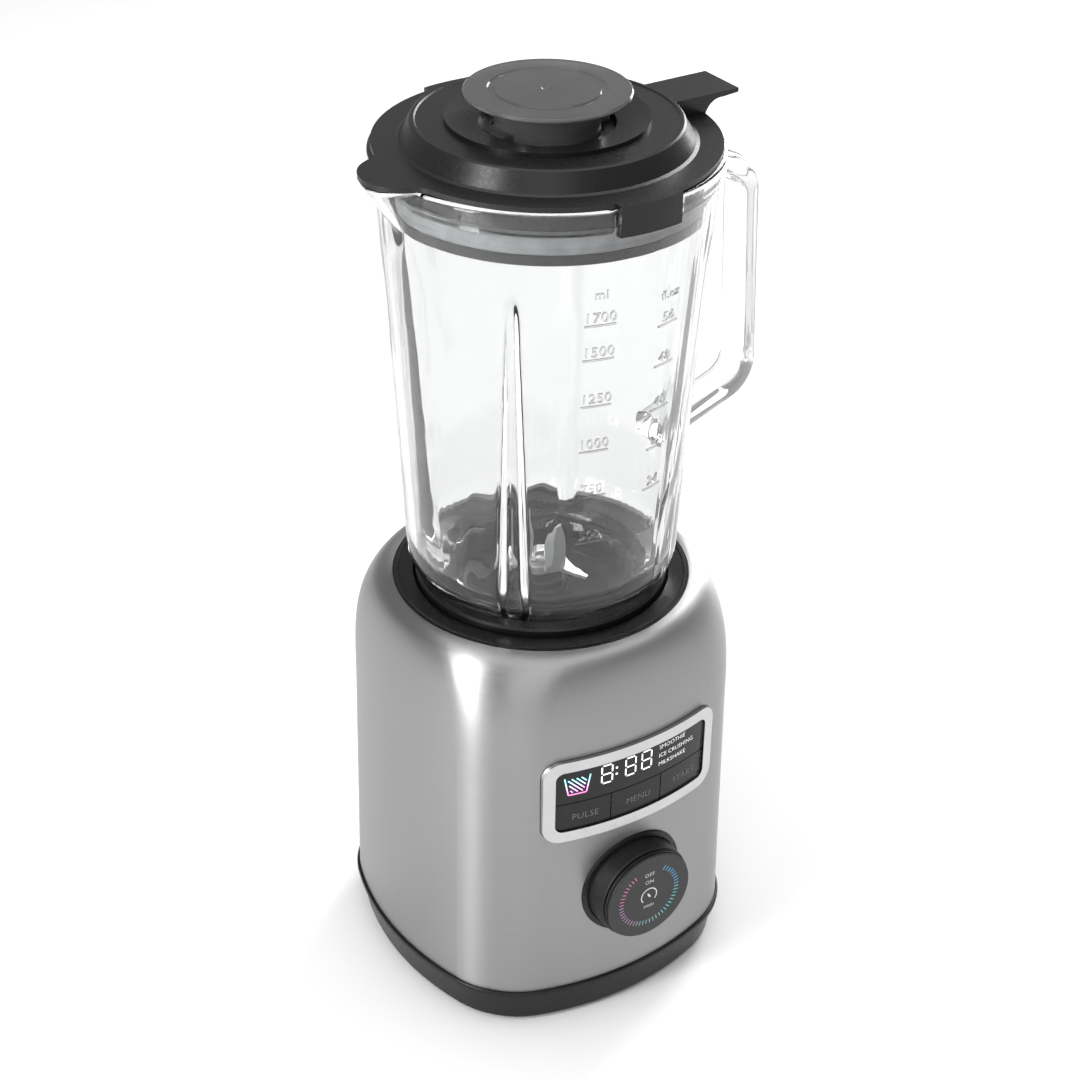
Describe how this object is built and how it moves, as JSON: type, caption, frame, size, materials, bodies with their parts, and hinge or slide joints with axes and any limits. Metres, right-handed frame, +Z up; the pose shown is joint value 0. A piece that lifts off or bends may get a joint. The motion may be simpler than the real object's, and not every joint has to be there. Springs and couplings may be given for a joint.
{
  "type": "countertop blender",
  "caption": "Countertop blender: steel motor base with display and speed knob, glass jar with handle and spout, blades, black lid with lift tab, clear measuring cup.",
  "frame": {"origin": "on the motor's and jar's common axis, at the level of the floor under the rubber feet", "axes": "+Z up along the motor's axis, -Y out of the control panel, +X towards the jar's handle, -X towards its spout"},
  "size_m": [0.1976, 0.1813, 0.4277],
  "materials": {
    "steel_skin": "brushed",
    "base_plastic": "matte",
    "lid_plastic": "matte",
    "black_rubber": "matte",
    "seal_silicone": "satin",
    "bezel_silver": "satin",
    "display_glass": "gloss",
    "key_black": "satin",
    "knob_black": "matte",
    "knob_glass": "satin",
    "board_green": "satin",
    "part_black": "matte",
    "lamination": "satin",
    "copper": "satin",
    "cast_alloy": "cast",
    "bright_steel": "polished",
    "brass": "satin",
    "carbon": "matte",
    "fan_plastic": "satin",
    "coupling_plastic": "satin",
    "jar_clear": "clear",
    "cup_smoke": "clear, grey tint",
    "blade_steel": "ground"
  },
  "bodies": {
    "base": {"housing_shell": "steel_skin", "base_collar": "base_plastic", "collar_gasket": "black_rubber", "base_tray": "base_plastic", "rubber_foot_1": "black_rubber", "rubber_foot_2": "black_rubber", "rubber_foot_3": "black_rubber", "rubber_foot_4": "black_rubber", "tray_screws": "bright_steel", "display_bezel": "bezel_silver", "display_window": "display_glass", "display_board": "board_green", "tact_switches": "part_black", "knob_bezel": "knob_black", "encoder_body": "part_black", "motor_stator": "lamination", "field_coil_left": "copper", "field_coil_right": "copper", "motor_bracket_upper": "cast_alloy", "motor_bracket_lower": "cast_alloy", "bearing_upper": "bright_steel", "bearing_lower": "bright_steel", "brush_holders": "brass", "carbon_brushes": "carbon", "motor_mounts": "black_rubber", "motor_screws": "bright_steel", "fan_shroud": "fan_plastic", "power_board": "board_green", "filter_capacitor": "part_black", "cord_gland": "black_rubber", "reed_switch": "part_black"},
    "rotor": {"motor_shaft": "bright_steel", "armature_core": "lamination", "armature_winding": "copper", "commutator": "copper", "cooling_fan": "fan_plastic", "drive_coupling": "coupling_plastic"},
    "jar": {"jar_glass": "jar_clear", "jar_collar": "base_plastic", "interlock_magnet": "bright_steel", "jar_gasket": "seal_silicone", "blade_base": "base_plastic", "blade_bush": "brass", "shaft_seal": "seal_silicone"},
    "blades": {"thrust_washer": "coupling_plastic", "blade_shaft": "bright_steel", "blades_lower": "blade_steel", "blades_upper": "blade_steel", "blade_nut": "bright_steel", "driven_coupling": "coupling_plastic"},
    "lid": {"lid_body": "lid_plastic", "lid_seal": "seal_silicone"},
    "cup": {"measuring_cup": "cup_smoke"},
    "pulse_key": {"button_pulse": "key_black"},
    "menu_key": {"button_menu": "key_black"},
    "start_key": {"button_start": "key_black"},
    "knob_push_core": {"knob_core": "knob_black", "knob_face": "knob_glass"},
    "knob_grip": {"knob_ring": "knob_black"}
  },
  "joints": [
    {"name": "motor_spin", "type": "hinge", "parent": "base", "child": "rotor", "pos_m": [0, 0, 0.1], "axis": [0, 0, 1], "continuous": true},
    {"name": "blade_spin", "type": "hinge", "parent": "jar", "child": "blades", "pos_m": [0, 0, 0.2], "axis": [0, 0, 1], "continuous": true},
    {"name": "jar_lift", "type": "slide", "parent": "base", "child": "jar", "axis": [0, 0, 1], "range_m": [0, 0.25]},
    {"name": "lid_lift", "type": "slide", "parent": "jar", "child": "lid", "axis": [0, 0, 1], "range_m": [0, 0.12]},
    {"name": "cup_lift", "type": "slide", "parent": "lid", "child": "cup", "axis": [0, 0, 1], "range_m": [0, 0.06]},
    {"name": "pulse_press", "type": "slide", "parent": "base", "child": "pulse_key", "axis": [0, 1, 0], "range_m": [0, 0.0008], "stiffness_N_per_m": 1000, "springref_m": -0.0005},
    {"name": "menu_press", "type": "slide", "parent": "base", "child": "menu_key", "axis": [0, 1, 0], "range_m": [0, 0.0008], "stiffness_N_per_m": 1000, "springref_m": -0.0005},
    {"name": "start_press", "type": "slide", "parent": "base", "child": "start_key", "axis": [0, 1, 0], "range_m": [0, 0.0008], "stiffness_N_per_m": 1000, "springref_m": -0.0005},
    {"name": "knob_push", "type": "slide", "parent": "base", "child": "knob_push_core", "axis": [0, 1, 0], "range_m": [0, 0.0015], "stiffness_N_per_m": 1500, "springref_m": -0.0008},
    {"name": "knob_turn", "type": "hinge", "parent": "knob_push_core", "child": "knob_grip", "pos_m": [0, -0.084, 0.0722], "axis": [0, 1, 0], "continuous": true}
  ],
  "couplings": [
    {"joint": "blade_spin", "follows": "motor_spin", "ratio": 1}
  ]
}
